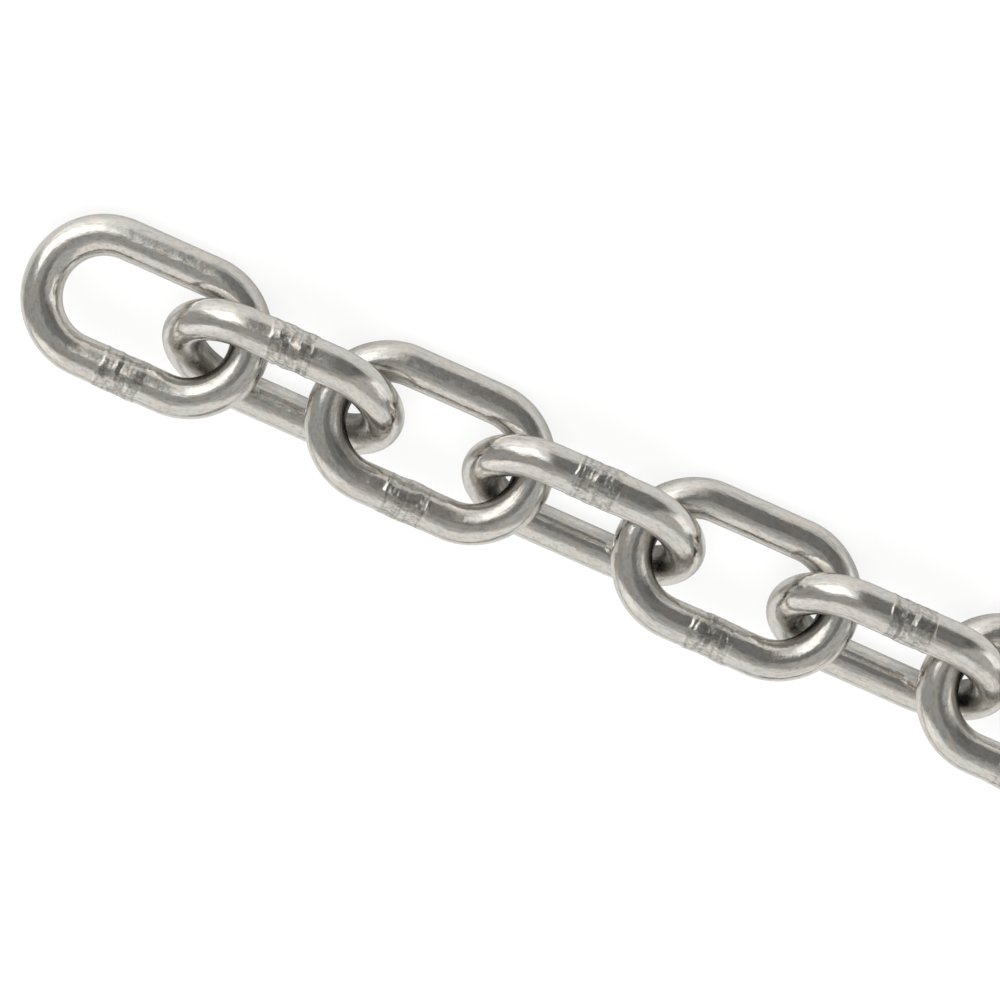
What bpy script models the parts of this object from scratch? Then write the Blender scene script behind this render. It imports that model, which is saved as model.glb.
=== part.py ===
"""A cut length of welded short-link chain in round steel wire, laid out straight on a level surface.

Each link is one piece: a straight wire that was bent to an oval and butt-welded shut.
Every second link leans towards +Y and the ones between lean towards -Y, as a laid chain does.
Metres, +X along the chain, +Z up. The origin is on the surface, under the middle of the chain.
"""

from math import cos, pi, radians, sin

import bpy

# The three sizes that name a chain
WIRE_DIAMETER = 0.005
INSIDE_LENGTH = 0.021
INSIDE_WIDTH = 0.010

# The cut length
LINK_COUNT = 14
STEP = 0.0200
FREE_END_STEPS = (0.0178, 0.0192)
LEAN = radians(30)

# The wire is drawn with 12 flats that lie on its real surface, one of them facing the middle of the eye
WIRE_SIDES = 12
CROWN_SEGMENTS = 13

# Bright stainless steel
STEEL_COLOUR = (0.60, 0.59, 0.57, 1.0)
STEEL_ROUGHNESS = 0.32

wire_radius = WIRE_DIAMETER / 2
crown_radius = (INSIDE_WIDTH + WIRE_DIAMETER) / 2
crown_reach = (INSIDE_LENGTH + WIRE_DIAMETER) / 2
crown_centre = crown_reach - crown_radius
axis_height = crown_radius * sin(LEAN) + wire_radius


def clear_scene():
    for old in list(bpy.data.objects):
        bpy.data.objects.remove(old, do_unlink=True)


def steel_material():
    steel = bpy.data.materials.new("bright_steel")
    steel.use_nodes = True
    shader = steel.node_tree.nodes["Principled BSDF"]
    shader.inputs["Base Color"].default_value = STEEL_COLOUR
    shader.inputs["Metallic"].default_value = 1.0
    shader.inputs["Roughness"].default_value = STEEL_ROUGHNESS
    return steel


def crown_points(side):
    """One rounded end of the oval, from one straight to the other, with its middle segment square to X."""
    stretch = 1 / cos(pi / (2 * CROWN_SEGMENTS))
    points = []
    for k in range(CROWN_SEGMENTS + 1):
        turn = -pi / 2 + pi * k / CROWN_SEGMENTS
        x = crown_centre + crown_radius * stretch * cos(turn)
        y = crown_radius * sin(turn)
        points.append((side * x, side * y))
    return points


def link_curve(steel):
    """The oval as a closed wire in its own XY plane, centred on the origin."""
    curve = bpy.data.curves.new("link", "CURVE")
    curve.dimensions = "3D"
    curve.twist_mode = "Z_UP"
    curve.bevel_depth = wire_radius / cos(pi / WIRE_SIDES)
    curve.bevel_resolution = (WIRE_SIDES - 4) // 2
    oval = crown_points(1) + crown_points(-1)
    spline = curve.splines.new("POLY")
    spline.points.add(len(oval) - 1)
    for point, (x, y) in zip(spline.points, oval):
        point.co = (x, y, 0, 1)
        point.tilt = pi / WIRE_SIDES
    spline.use_cyclic_u = True
    spline.use_smooth = True
    curve.materials.append(steel)
    return curve


def link_places():
    """The middle of each link along X, with the row of links centred on the origin."""
    steps = list(FREE_END_STEPS) + [STEP] * (LINK_COUNT - 1 - len(FREE_END_STEPS))
    places = [0.0]
    for step in steps:
        places.append(places[-1] + step)
    middle = places[-1] / 2
    return [place - middle for place in places]


def build_chain():
    chain = bpy.data.collections.new("welded_link_chain")
    bpy.context.scene.collection.children.link(chain)
    curve = link_curve(steel_material())
    before = None
    for number, x in enumerate(link_places(), start=1):
        leans_to_plus_y = number % 2 == 0
        link = bpy.data.objects.new(f"link_{number:02d}", curve)
        chain.objects.link(link)
        link.rotation_euler.x = LEAN if leans_to_plus_y else pi - LEAN
        if before is None:
            link.location = (x, 0, axis_height)
        else:
            # the link swings round the rod of the crown that passes through it
            hinge = bpy.data.objects.new(f"hinge_{number:02d}", None)
            chain.objects.link(hinge)
            hinge.location = (before + crown_reach, 0, axis_height)
            link.parent = hinge
            link.location.x = x - hinge.location.x
        before = x


clear_scene()
build_chain()
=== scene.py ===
"""The finish of a cut length of bright welded steel chain, lying on a pale table in soft studio light.

Each link is drawn round wire, bent to an oval and butt-welded at the middle of its high side. The weld is a
trimmed collar with die marks at both ends, and no two are alike. Metres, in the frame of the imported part.
"""

from math import atan2, cos, exp, pi, radians, sin, tau
from random import Random

import bmesh
import bpy
from mathutils import Euler, Matrix, Vector, noise


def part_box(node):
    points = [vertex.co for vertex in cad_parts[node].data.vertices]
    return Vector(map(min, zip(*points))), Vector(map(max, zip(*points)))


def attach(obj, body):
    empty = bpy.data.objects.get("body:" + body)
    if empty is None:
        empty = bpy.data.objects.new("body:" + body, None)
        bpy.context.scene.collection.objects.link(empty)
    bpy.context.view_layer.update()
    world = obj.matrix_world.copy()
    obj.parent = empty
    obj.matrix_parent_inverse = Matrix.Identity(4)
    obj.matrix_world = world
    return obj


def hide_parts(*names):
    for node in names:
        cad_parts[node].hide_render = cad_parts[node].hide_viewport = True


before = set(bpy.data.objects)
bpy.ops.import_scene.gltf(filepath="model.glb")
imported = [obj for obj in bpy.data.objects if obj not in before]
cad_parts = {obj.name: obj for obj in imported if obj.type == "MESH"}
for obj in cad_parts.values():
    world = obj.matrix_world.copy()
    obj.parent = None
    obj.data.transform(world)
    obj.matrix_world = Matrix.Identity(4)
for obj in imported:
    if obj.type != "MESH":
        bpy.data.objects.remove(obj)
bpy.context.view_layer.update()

# The wire and the oval, as the stock size names them, and how far a link leans as it lies
MM = 0.001
WIRE_DIAMETER = 5 * MM
INSIDE_LENGTH = 21 * MM
INSIDE_WIDTH = 10 * MM
LEAN = radians(30)

wire_radius = WIRE_DIAMETER / 2
crown_radius = (INSIDE_WIDTH + WIRE_DIAMETER) / 2
straight_half = (INSIDE_LENGTH + WIRE_DIAMETER) / 2 - crown_radius
wire_length = 4 * straight_half + tau * crown_radius

# How finely the wire is cut round it, along the weld, along the rest of the straights, and round a crown
ROUND_SIDES = 112
WELD_REACH = 4 * MM
WELD_CUT = 0.09 * MM
STRAIGHT_CUT = 0.26 * MM
CROWN_CUTS = 60
MERGE_WITHIN = WELD_CUT / 8

# Relief is read from smooth noise. Each link has its own patch of it, this far from the one before, and so
# have a weld's creases and ridges. An EDGE is the noise's value where a mark starts, and where it is full.
NEXT_PATCH = Vector((17.3, -9.1, 5.7))
NEXT_CREASE = 3.7
NEXT_RIDGE = 5.3

# The drawn wire isn't quite round or straight: it has shallow waves, drawn out along it to twice their
# width, and dents from tumbling against other links
WAVE_DEPTH = 0.022 * MM
WAVE_SIZE = 2.4 * MM
DENT_DEPTH = 0.013 * MM
DENT_SIZE = 1.1 * MM
DENT_EDGE = (0.2, 0.55)
DRAWN_OUT = 2

# The trimmed weld is a low collar, which fades out over a short way at its ends. It slants across the wire
# and wanders, broadly and finely, in so many waves a millimetre.
COLLAR_HALF = 2.7 * MM
COLLAR_HEIGHT = 0.05 * MM
FADE_OUTSIDE = 0.10 * MM
FADE_INSIDE = 0.25 * MM
SLANT = 0.35 * MM
WANDER = 0.30 * MM
WANDER_WAVES = 0.55
JITTER = 0.10 * MM
JITTER_WAVES = 1.7
GRAIN_DEPTH = 0.016 * MM
GRAIN_SIZE = 0.30 * MM

# Its facets meet in creases, which stray by a share of a facet's length and rise and fall round the wire.
# Some facets are stained, and the stain fades within a share of the facet's length from a crease.
FACETS = 6
CREASE_STRAY = 0.32
CREASE_RISE = 0.20 * MM
CREASE_WAVES = 1.1
STAINS = (0, 0.25, 0.5, 0.9)
STAIN_FADE = 0.25
STAIN_WAVES = Vector((0.2, 0.5, 0.5))
STAIN_EDGE = (-0.1, 0.35)

# Each crease has a ridge with a dark line beside it. The ridges at the collar's two ends are full, and those
# between them have a share of that height, or are sunk.
RIDGE_HEIGHT = 0.07 * MM
RIDGE_WIDTH = 0.15 * MM
RIDGE_REACH = 5 * RIDGE_WIDTH
RIDGE_EDGE = (-0.3, 0.25)
INNER_RIDGES = (-0.35, 0.75)
LINE_ASIDE = 1.9 * RIDGE_WIDTH
LINE_MARK = 0.6

# Fine scores run over the collar at a lean, in millimetres along the wire for each radian round it
SCORES = 9
SCORE_DEPTH = 0.028 * MM
SCORE_WIDTH = 0.11 * MM
SCORE_SPAN = 0.45
SCORE_SPREAD = 0.8 * COLLAR_HALF
SCORE_LEANS = (0.3, 1.1)
SHALLOWEST_SCORE = 0.4
SCORE_MARK = 0.5

# Painted shade darkens the inside of a crown where a neighbour lies in it, fully from this far past the
# straights.
# Round the wire the painted shade starts at the first of these ways and is full at the second: 1 looks out
# of the oval, and -1 into its eye.
CREVICE_SHADE_FADE = 0.55 * crown_radius
CREVICE_SHADE_WAYS = (-0.2, -0.85)


def smooth(value, low, high):
    """0 below low, 1 above high, and an S curve between; low may be the larger."""
    share = min(1, max(0, (value - low) / (high - low)))
    return share * share * (3 - 2 * share)


def hump(value, width):
    """1 at 0, and falling off to both sides over about that width."""
    return exp(-((value / width) ** 2))


def put(name, data):
    """Adds an object to the scene, at the origin."""
    made = bpy.data.objects.new(name, data)
    bpy.context.scene.collection.objects.link(made)
    return made


def finished(bm, name, material):
    """Turns a bmesh into an object with that material."""
    mesh = bpy.data.meshes.new(name)
    bm.to_mesh(mesh)
    bm.free()
    mesh.materials.append(material)
    return put(name, mesh)


# The wire


def open_end(made):
    """The edges at the end of what a spin made."""
    return [part for part in made["geom_last"] if isinstance(part, bmesh.types.BMEdge)]


def draw_on(bm, ring, length, cut):
    """Pulls the open end of the wire straight on along X, in cuts of about that size."""
    steps = max(1, round(abs(length) / cut))
    made = bmesh.ops.spin(bm, geom=ring, cent=(0, 0, 0), axis=(0, 0, 1), dvec=(length / steps, 0, 0),
                          angle=0, steps=steps)
    return open_end(made)


def bend_on(bm, ring, centre_x):
    """Bends the open end of the wire half a turn round a crown."""
    made = bmesh.ops.spin(bm, geom=ring, cent=(centre_x, 0, 0), axis=(0, 0, 1), angle=pi,
                          steps=CROWN_CUTS)
    return open_end(made)


def oval_wire():
    """The wire of one link in its own plane, from the middle of the weld round to it again."""
    bm = bmesh.new()
    section = Matrix.Translation((0, crown_radius, 0)) @ Matrix.Rotation(pi / 2, 4, "Y")
    bmesh.ops.create_circle(bm, radius=wire_radius, segments=ROUND_SIDES, matrix=section)
    ring = list(bm.edges)
    beside_weld = straight_half - WELD_REACH
    ring = draw_on(bm, ring, -WELD_REACH, WELD_CUT)
    ring = draw_on(bm, ring, -beside_weld, STRAIGHT_CUT)
    ring = bend_on(bm, ring, -straight_half)
    ring = draw_on(bm, ring, 2 * straight_half, STRAIGHT_CUT)
    ring = bend_on(bm, ring, straight_half)
    ring = draw_on(bm, ring, -beside_weld, STRAIGHT_CUT)
    draw_on(bm, ring, -WELD_REACH, WELD_CUT)
    bmesh.ops.remove_doubles(bm, verts=bm.verts, dist=MERGE_WITHIN)
    bmesh.ops.recalc_face_normals(bm, faces=bm.faces)
    for layer in ("weld", "mark", "crevice_shade"):
        bm.verts.layers.float.new(layer)
    unroll(bm)
    return bm


def unroll(bm):
    """Writes each corner's place on the straight wire: across it, up it, and how far along from the weld."""
    rod = bm.loops.layers.float_vector.new("rod")
    for face in bm.faces:
        past_weld = face.calc_center_median().x < 0
        for loop in face.loops:
            run, out, outward = on_wire(loop.vert.co)
            if min(run, wire_length - run) < WELD_CUT / 2:
                run = 0 if past_weld else wire_length
            loop[rod] = (outward * wire_radius, out.z * wire_radius, run)


def on_wire(point):
    """Where a point of the drawn wire is: how far round the link from the weld, its way out of the wire,
    and how much that way looks out of the oval (1) or into the eye (-1)."""
    side = -1 if point.x < 0 else 1
    if abs(point.x) <= straight_half:
        outward = Vector((0, 1 if point.y > 0 else -1, 0))
        middle = Vector((point.x, crown_radius * outward.y, 0))
        reach = abs(point.x) if point.y > 0 else wire_length / 2 - abs(point.x)
    else:
        crown = Vector((side * straight_half, 0, 0))
        outward = Vector((point.x - crown.x, point.y, 0)).normalized()
        middle = crown + outward * crown_radius
        reach = straight_half + crown_radius * atan2(abs(outward.x), outward.y)
    out = (point - middle).normalized()
    return reach if side < 0 else wire_length - reach, out, out.dot(outward)


# The relief of one link's surface


class Relief:
    """The dents and the weld of one link, drawn from its own number, so that no two links are alike."""

    def __init__(self, number):
        chance = Random(number)
        self.shift = NEXT_PATCH * number
        self.slant = chance.uniform(-SLANT, SLANT)
        strayed = [k + chance.uniform(-CREASE_STRAY, CREASE_STRAY) for k in range(1, FACETS)]
        self.creases = [(place / FACETS * 2 - 1) * COLLAR_HALF for place in (0, *strayed, FACETS)]
        self.crests = [1, *(chance.uniform(*INNER_RIDGES) for _ in strayed), 1]
        self.stains = [chance.choice(STAINS) for _ in self.creases]
        self.scores = []
        for _ in range(SCORES):
            spot = chance.uniform(-SCORE_SPREAD, SCORE_SPREAD)
            lean = chance.choice((-1, 1)) * chance.uniform(*SCORE_LEANS) * MM
            round_wire = chance.uniform(-pi, pi)
            depth = chance.uniform(SHALLOWEST_SCORE, 1) * SCORE_DEPTH
            self.scores.append((spot, lean, round_wire, depth))

    def wire(self, run, out):
        """Height of the drawn wire's surface over a true round."""
        place = Vector((run / DRAWN_OUT, out.y * wire_radius, out.z * wire_radius))
        wave = WAVE_DEPTH * noise.noise(place / WAVE_SIZE + self.shift)
        return wave - DENT_DEPTH * smooth(noise.noise(place / DENT_SIZE - self.shift), *DENT_EDGE)

    def weld(self, along, out, way):
        """Height of the weld's surface over a true round, how far it is weld, and how dark its marks are."""
        place = Vector((along, out.y * wire_radius, out.z * wire_radius)) / MM + self.shift
        crooked = WANDER * noise.noise(place * WANDER_WAVES) + JITTER * noise.noise(place * JITTER_WAVES)
        spot = along - self.slant * out.z + crooked
        share = smooth(abs(spot), COLLAR_HALF + FADE_OUTSIDE, COLLAR_HALF - FADE_INSIDE)
        grain = GRAIN_DEPTH * noise.noise(place * (MM / GRAIN_SIZE))
        facet, stain = self.facet(spot, place, out)
        ridge, line = self.ridges(spot, out)
        groove, nick = self.grooves(spot, way)
        height = facet + ridge + share * (COLLAR_HEIGHT + grain - groove)
        return height, share, max(stain, line, share * nick)

    def crease_height(self, number, out):
        """How high a crease is on this side of the wire; the collar's two ends are level."""
        if number in (0, FACETS):
            return 0
        here = Vector((number * NEXT_CREASE, out.y * CREASE_WAVES, out.z * CREASE_WAVES))
        return CREASE_RISE * noise.noise(here + self.shift)

    def facet(self, spot, place, out):
        """Height of the facet at a spot, straight from crease to crease, and how dark its stain is."""
        for number in range(FACETS):
            low, high = self.creases[number], self.creases[number + 1]
            if low <= spot < high:
                over = (spot - low) / (high - low)
                height = self.crease_height(number, out) * (1 - over)
                height += self.crease_height(number + 1, out) * over
                stain = self.stains[number] * smooth(noise.noise(place * STAIN_WAVES), *STAIN_EDGE)
                return height, stain * smooth(min(over, 1 - over), 0, STAIN_FADE)
        return 0, 0

    def ridges(self, spot, out):
        """Height of the ridges at a spot, and how dark the lines on their inner sides are."""
        height = 0
        line = 0
        for number, crease in enumerate(self.creases):
            aside = spot - crease
            if abs(aside) < RIDGE_REACH:
                here = Vector((number * NEXT_RIDGE, out.y, out.z))
                strength = smooth(noise.noise(here + self.shift), *RIDGE_EDGE)
                height += self.crests[number] * strength * RIDGE_HEIGHT * hump(aside, RIDGE_WIDTH)
                from_line = aside + (LINE_ASIDE if crease > 0 else -LINE_ASIDE)
                line = max(line, LINE_MARK * strength * hump(from_line, RIDGE_WIDTH))
        return height, line

    def grooves(self, spot, way):
        """Depth of the scores at a spot, and how dark they are."""
        depth = 0
        nick = 0
        for start, lean, round_wire, deepest in self.scores:
            apart = (way - round_wire + pi) % tau - pi
            groove = deepest * hump(spot - start - lean * apart, SCORE_WIDTH) * hump(apart, SCORE_SPAN)
            depth += groove
            nick = max(nick, SCORE_MARK * groove / SCORE_DEPTH)
        return depth, nick


def build_link(name, number, wire, steel):
    """Makes one link in its own plane, then leans it and lays it where its CAD link lies."""
    relief = Relief(number)
    bm = wire.copy()
    rod = bm.loops.layers.float_vector["rod"]
    weld = bm.verts.layers.float["weld"]
    mark = bm.verts.layers.float["mark"]
    crevice_shade = bm.verts.layers.float["crevice_shade"]
    for vert in bm.verts:
        run, out, outward = on_wire(vert.co)
        height, share = 0, 0
        if abs(vert.co.x) < WELD_REACH and vert.co.y > 0:
            height, share, vert[mark] = relief.weld(vert.co.x, out, atan2(out.z, outward))
        vert[weld] = share
        # Painted shade inside the crowns, where a neighbouring link lies
        vert[crevice_shade] = crevice_shade_at(vert.co, outward, number)
        vert.co += out * (height + (1 - share) * relief.wire(run, out))
    # Each link is bent from another metre of the wire, so that its streaks are its own
    for face in bm.faces:
        for loop in face.loops:
            loop[rod] += Vector((0, 0, number))
    low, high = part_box(name)
    leans_to_plus_y = number % 2 == 0
    turn = Matrix.Rotation(LEAN if leans_to_plus_y else pi - LEAN, 4, "X")
    bmesh.ops.transform(bm, matrix=Matrix.Translation((low + high) / 2) @ turn, verts=bm.verts)
    link = finished(bm, name + "_wire", steel)
    link.data.shade_smooth()
    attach(link, name)
    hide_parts(name)


def crevice_shade_at(point, outward, number):
    """How much painted shade darkens a point where a neighbour's crown lies in this one: the inside of both
    crowns, except at a free end.
    """
    free_side = {1: -1, len(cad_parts): 1}.get(number)
    side = -1 if point.x < 0 else 1
    if side == free_side:
        return 0
    return smooth(abs(point.x), straight_half, straight_half + CREVICE_SHADE_FADE) * smooth(outward, *CREVICE_SHADE_WAYS)


# Materials


class Nodes:
    """A node tree that is filled by calls: add() makes a node, sets it and joins what it is given."""

    def __init__(self, tree):
        self.tree = tree
        tree.nodes.clear()

    def add(self, kind, sockets=None, **settings):
        made = self.tree.nodes.new(kind)
        for key, value in settings.items():
            setattr(made, key, value)
        for key, value in (sockets or {}).items():
            if isinstance(value, bpy.types.NodeSocket):
                self.tree.links.new(value, made.inputs[key])
            else:
                made.inputs[key].default_value = value
        return made

    def math(self, operation, *values):
        return self.add("ShaderNodeMath", dict(enumerate(values)), operation=operation).outputs[0]

    def vectors(self, operation, *values):
        return self.add("ShaderNodeVectorMath", dict(enumerate(values)), operation=operation).outputs[0]

    def attribute(self, name):
        return self.add("ShaderNodeAttribute", attribute_name=name).outputs

    def speckle(self, vector, detail, roughness):
        sockets = {"Vector": vector, "Scale": 1.0, "Detail": detail, "Roughness": roughness}
        return self.add("ShaderNodeTexNoise", sockets).outputs["Fac"]

    def between(self, value, low, high, to_low, to_high):
        sockets = {"Value": value, "From Min": low, "From Max": high, "To Min": to_low, "To Max": to_high}
        return self.add("ShaderNodeMapRange", sockets, interpolation_type="SMOOTHSTEP").outputs[0]

    def blend(self, share, one, other):
        """Mixes two colours; a Mix node keeps its colour sockets at 6 and 7, and its mixed colour at 2."""
        return self.add("ShaderNodeMix", {0: share, 6: one, 7: other}, data_type="RGBA").outputs[2]


def new_material(name):
    material = bpy.data.materials.new(name)
    material.use_nodes = True
    return material, Nodes(material.node_tree)


# The steel's colours: clean, warmly tinted, in streaks and flecks, in the weld's marks, and painted shade
# inside a crown where a link lies
BRIGHT = (0.785, 0.785, 0.768, 1)
TINTED = (0.82, 0.782, 0.738, 1)
STREAKED = (0.46, 0.45, 0.425, 1)
MARKED = (0.20, 0.19, 0.175, 1)
# The colour of the painted shade inside the crowns
CREVICE_SHADE = (0.33, 0.32, 0.30, 1)

# Patterns in the steel: spots a metre across the wire and along it, then the noise's detail and roughness
LINES = (4300, 320, 3.0, 0.6)
DIMPLES = (1700, 800, 1.0, 0.5)
PITS = (4400, 2900, 2.0, 0.6)
FLECKS = (2700, 1500, 3.0, 0.65)
STREAKS = (1500, 230, 3.0, 0.6)
PATCHES = (420, 210, 3.0, 0.55)
TINTS = (760, 430, 2.0, 0.5)

# What a pattern does: where it starts and where it is full, and what it gives at the one and at the other
TINTS_COLOUR = (0.35, 0.65, 0, 1)
STREAKS_COLOUR = (0.48, 0.72, 0, 0.35)
FLECKS_COLOUR = (0.42, 0.72, 0, 0.45)
FLECKS_ON_WELD = (0.4, 0.62, 0, 0.5)
PITS_IN_MARKS = (0.35, 0.6, 0.4, 0.9)
STREAKS_IN_CREVICE_SHADE = (0.3, 0.6, 0.6, 0.95)
PATCHES_ROUGH = (0.35, 0.7, 0.08, 0.16)
STREAKS_ROUGH = (0.45, 0.75, 0, 0.09)
WELD_ROUGH = 0.04
MARK_AND_CREVICE_ROUGH = 0.15

# Relief too fine for the mesh
LINE_DEPTH = 0.012 * MM
DIMPLE_DEPTH = 0.024 * MM
PIT_DEPTH = 0.010 * MM


def steel_material():
    """Drawn and tumbled stainless wire, with streaks and fine lines along it, marked welds, and painted
    shade inside the crowns where links meet.
    """
    steel, n = new_material("bright_steel")
    rod = n.attribute("rod")["Vector"]
    weld = n.attribute("weld")["Fac"]
    mark = n.attribute("mark")["Fac"]
    # How much painted shade each point has inside the crowns
    crevice_shade = n.attribute("crevice_shade")["Fac"]

    def pattern(across, along, detail, roughness):
        return n.speckle(n.vectors("MULTIPLY", rod, (across, across, along)), detail, roughness)

    flecks = pattern(*FLECKS)
    streaks = pattern(*STREAKS)
    pits = pattern(*PITS)
    mottle = n.math("ADD", n.between(streaks, *STREAKS_COLOUR), n.between(flecks, *FLECKS_COLOUR))
    worked = n.math("MULTIPLY", weld, n.between(flecks, *FLECKS_ON_WELD))
    dark = n.math("MULTIPLY", mark, n.between(pits, *PITS_IN_MARKS))
    # The painted shade inside the crowns, streaked
    painted_shade = n.math("MULTIPLY", crevice_shade, n.between(streaks, *STREAKS_IN_CREVICE_SHADE))
    colour = n.blend(n.between(pattern(*TINTS), *TINTS_COLOUR), BRIGHT, TINTED)
    colour = n.blend(n.math("ADD", mottle, worked), colour, STREAKED)
    colour = n.blend(dark, colour, MARKED)
    # Darkens the colour with the painted shade inside the crowns
    colour = n.blend(painted_shade, colour, CREVICE_SHADE)

    rough = n.between(pattern(*PATCHES), *PATCHES_ROUGH)
    rough = n.math("ADD", rough, n.between(streaks, *STREAKS_ROUGH))
    rough = n.math("MULTIPLY_ADD", weld, WELD_ROUGH, rough)
    rough = n.math("MULTIPLY_ADD", n.math("MAXIMUM", painted_shade, mark), MARK_AND_CREVICE_ROUGH, rough)

    lines = pattern(*LINES)
    dimples = pattern(*DIMPLES)
    relief = {}
    for height, depth in ((lines, LINE_DEPTH), (dimples, DIMPLE_DEPTH), (pits, PIT_DEPTH)):
        bump = n.add("ShaderNodeBump", {"Height": height, "Strength": 1.0, "Distance": depth, **relief})
        relief = {"Normal": bump.outputs["Normal"]}
    shader = n.add("ShaderNodeBsdfPrincipled",
                   {"Base Color": colour, "Metallic": 1.0, "Roughness": rough, **relief})
    n.add("ShaderNodeOutputMaterial", {"Surface": shader.outputs[0]})
    return steel


# The stage


# The table reaches this far to each side. Its two finishes are the one that the steel mirrors and the one
# that the camera sees, of which this share is clear.
TABLE_HALF = 4
POLISHED_WHITE = {"Base Color": (0.72, 0.715, 0.70, 1), "Roughness": 0.15, "IOR": 1.6,
                  "Emission Color": (1, 0.985, 0.95, 1), "Emission Strength": 0.14}
LIT_WHITE = {"Base Color": (0.4, 0.4, 0.4, 1), "Specular IOR Level": 0.0,
             "Emission Color": (1, 1, 1, 1), "Emission Strength": 0.72}
CLEAR_SHARE = 0.5


def table():
    bm = bmesh.new()
    bmesh.ops.create_grid(bm, x_segments=1, y_segments=1, size=TABLE_HALF)
    finished(bm, "table", pale_table())


def pale_table():
    """The camera sees a lit, half clear white sheet with faint shadows, which doesn't hide a link that is
    swung below it. The steel mirrors a polished white face."""
    pale, n = new_material("pale_table")
    polished = n.add("ShaderNodeBsdfPrincipled", POLISHED_WHITE).outputs[0]
    lit = n.add("ShaderNodeBsdfPrincipled", LIT_WHITE).outputs[0]
    clear = n.add("ShaderNodeBsdfTransparent").outputs[0]
    milky = n.add("ShaderNodeMixShader", {0: CLEAR_SHARE, 1: lit, 2: clear}).outputs[0]
    seen = n.add("ShaderNodeLightPath").outputs["Is Camera Ray"]
    either = n.add("ShaderNodeMixShader", {0: seen, 1: polished, 2: milky}).outputs[0]
    n.add("ShaderNodeOutputMaterial", {"Surface": either})
    return pale


# The studio round the table, in degrees: azimuth 0 is towards -Y, 90 towards +X; then elevation, half width,
# half height, width of the soft edge, slant and brightness. A panel covers those before it.
PANELS = (
    (30, 86, 75, 14, 10, 0, 0.47),  # ceiling
    (97, 40, 38, 30, 12, 0, 0.46),  # right wall
    (7, 38, 60, 33, 14, 0, 0.82),  # far wall
    (-38, 32, 13, 18, 8, 0, 1.0),  # brighter left end of the far wall
    (113, 9, 17, 10, 8, 0, 1.1),  # lamp at the right
    (163, 28, 22, 38, 10, 0, 0.19),  # dark room behind the camera
    (153, 18, 7, 16, 8, 0, 0.14),  # darkest gap in it
    (-159, 18, 10.5, 34, 9, 0, 0.80),  # left wall
    (30, 3, 16, 7, 7, 0, 0.27),  # gap under the far wall
    (77, 3, 13, 7, 7, 0, 0.24),  # gap under the right wall
    (-134, 24, 23, 21, 14, 0.25, 1.6),  # softbox
)
ROOM_GREY = 0.35
WARM = (1, 0.982, 0.94)

# How much of the studio's light falls on what isn't polished
SHADE_FILL = 0.5


def studio():
    """The room that the steel mirrors. The camera itself sees plain white past the table."""
    world = bpy.data.worlds.new("studio")
    world.use_nodes = True
    bpy.context.scene.world = world
    n = Nodes(world.node_tree)
    way = n.add("ShaderNodeTexCoord").outputs["Generated"]
    axes = n.add("ShaderNodeSeparateXYZ", {0: way}).outputs
    azimuth = n.math("ARCTAN2", axes["X"], n.math("MULTIPLY", axes["Y"], -1))
    elevation = n.math("ARCSINE", axes["Z"])

    def inside(distance, half, edge):
        """1 within half a panel's size of its middle, and fading to 0 across its soft edge."""
        return n.between(distance, radians(half - edge / 2), radians(half + edge / 2), 1, 0)

    brightness = ROOM_GREY
    for centre, height, half_width, half_height, edge, slant, level in PANELS:
        above = n.math("SUBTRACT", elevation, radians(height))
        along = n.math("MULTIPLY_ADD", above, slant, n.math("SUBTRACT", azimuth, radians(centre)))
        aside = n.math("ABSOLUTE", n.math("WRAP", along, pi, -pi))
        above = n.math("ABSOLUTE", above)
        share = n.math("MULTIPLY", inside(aside, half_width, edge), inside(above, half_height, edge))
        change = n.math("SUBTRACT", level, brightness)
        brightness = n.math("MULTIPLY_ADD", share, change, brightness)
    ray = n.add("ShaderNodeLightPath").outputs
    falling = n.math("MULTIPLY_ADD", ray["Is Diffuse Ray"], SHADE_FILL - 1, 1)
    mirrored = n.vectors("MULTIPLY", n.math("MULTIPLY", brightness, falling), WARM)
    seen = n.vectors("MAXIMUM", mirrored, ray["Is Camera Ray"])
    background = n.add("ShaderNodeBackground", {"Color": seen})
    n.add("ShaderNodeOutputWorld", {"Surface": background.outputs[0]})


LAMP_SIZE = 1
LAMP_WATTS = 10
LAMP_HEIGHT = 1.2


def overhead():
    """A wide soft lamp over the table. It lights the table, and the steel doesn't show it."""
    data = bpy.data.lights.new("overhead", "AREA")
    data.size = LAMP_SIZE
    data.energy = LAMP_WATTS
    lamp = put("overhead", data)
    lamp.location = (0, 0, LAMP_HEIGHT)
    lamp.visible_camera = False
    lamp.visible_glossy = False


# The photo's view: what it looks at, from how far, the camera's direction and roll, and its lens
TARGET = Vector((-0.0811, -0.0035, 0.006))
DISTANCE = 0.3357
AZIMUTH = radians(180.82)
ELEVATION = radians(57.69)
ROLL = radians(203.31)
LENS = 100.63
NEAREST_SEEN = 0.01


def camera():
    """Looks down on the free end of the chain from its +Y side, turned half round in its frame."""
    away = Vector((sin(AZIMUTH) * cos(ELEVATION), -cos(AZIMUTH) * cos(ELEVATION), sin(ELEVATION)))
    data = bpy.data.cameras.new("camera")
    data.lens = LENS
    data.clip_start = NEAREST_SEEN
    eye = put("camera", data)
    eye.location = TARGET + away * DISTANCE
    eye.rotation_mode = "QUATERNION"
    eye.rotation_quaternion = (-away).to_track_quat("-Z", "Y") @ Euler((0, 0, ROLL)).to_quaternion()
    bpy.context.scene.camera = eye


steel = steel_material()
wire = oval_wire()
for number, name in enumerate(sorted(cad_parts), start=1):
    build_link(name, number, wire, steel)
wire.free()
table()
studio()
overhead()
camera()
bpy.context.scene.view_settings.view_transform = "Standard"
